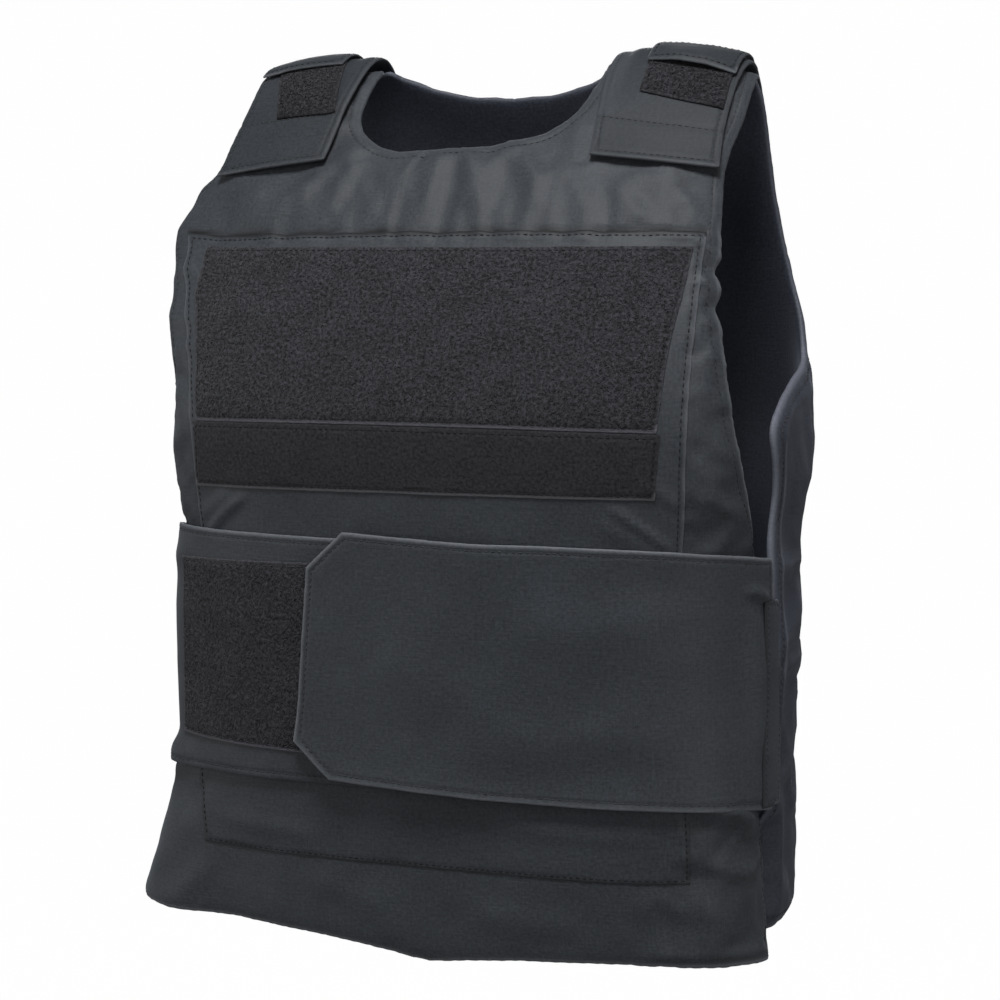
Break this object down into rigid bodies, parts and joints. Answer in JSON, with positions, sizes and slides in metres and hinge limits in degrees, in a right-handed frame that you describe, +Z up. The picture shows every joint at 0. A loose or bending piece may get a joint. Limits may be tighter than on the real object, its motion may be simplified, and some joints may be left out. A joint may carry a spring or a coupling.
{
  "type": "stab vest",
  "caption": "Padded stab vest with a sewn chest pocket, fuzzy loop panels, hook-and-loop shoulder straps and overlapping waist wraps, held open as it is worn.",
  "frame": {"origin": "mount shoulders: midway between the undersides of the two shoulders, where the vest rests on its wearer", "axes": "+Z up; the wearer faces -Y, so +X is the wearer's left"},
  "size_m": [0.4328, 0.2453, 0.557],
  "materials": {
    "nylon_cloth": "matt woven nylon, blue-grey black, slightly shiny on the folds",
    "back_cloth": "woven nylon with a navy sheen",
    "loop_pile": "fuzzy knitted loop pile of hook-and-loop fastener, matt and mottled",
    "loop_webbing": "short dense loop tape, smoother and darker than the pile"
  },
  "bodies": {
    "root": {"front_panel": "nylon_cloth", "chest_pocket": "nylon_cloth", "lower_band": "nylon_cloth", "right_wrap": "nylon_cloth", "left_wrap": "nylon_cloth", "right_shoulder_strap": "nylon_cloth", "left_shoulder_strap": "nylon_cloth", "right_keeper_tab": "nylon_cloth", "left_keeper_tab": "nylon_cloth", "back_panel": "back_cloth", "right_side_strip": "back_cloth", "left_side_strip": "back_cloth", "chest_loop_field": "loop_pile", "wrap_loop_patch": "loop_pile", "right_strap_loop_patch": "loop_pile", "left_strap_loop_patch": "loop_pile", "chest_loop_strip": "loop_webbing"}
  },
  "joints": []
}
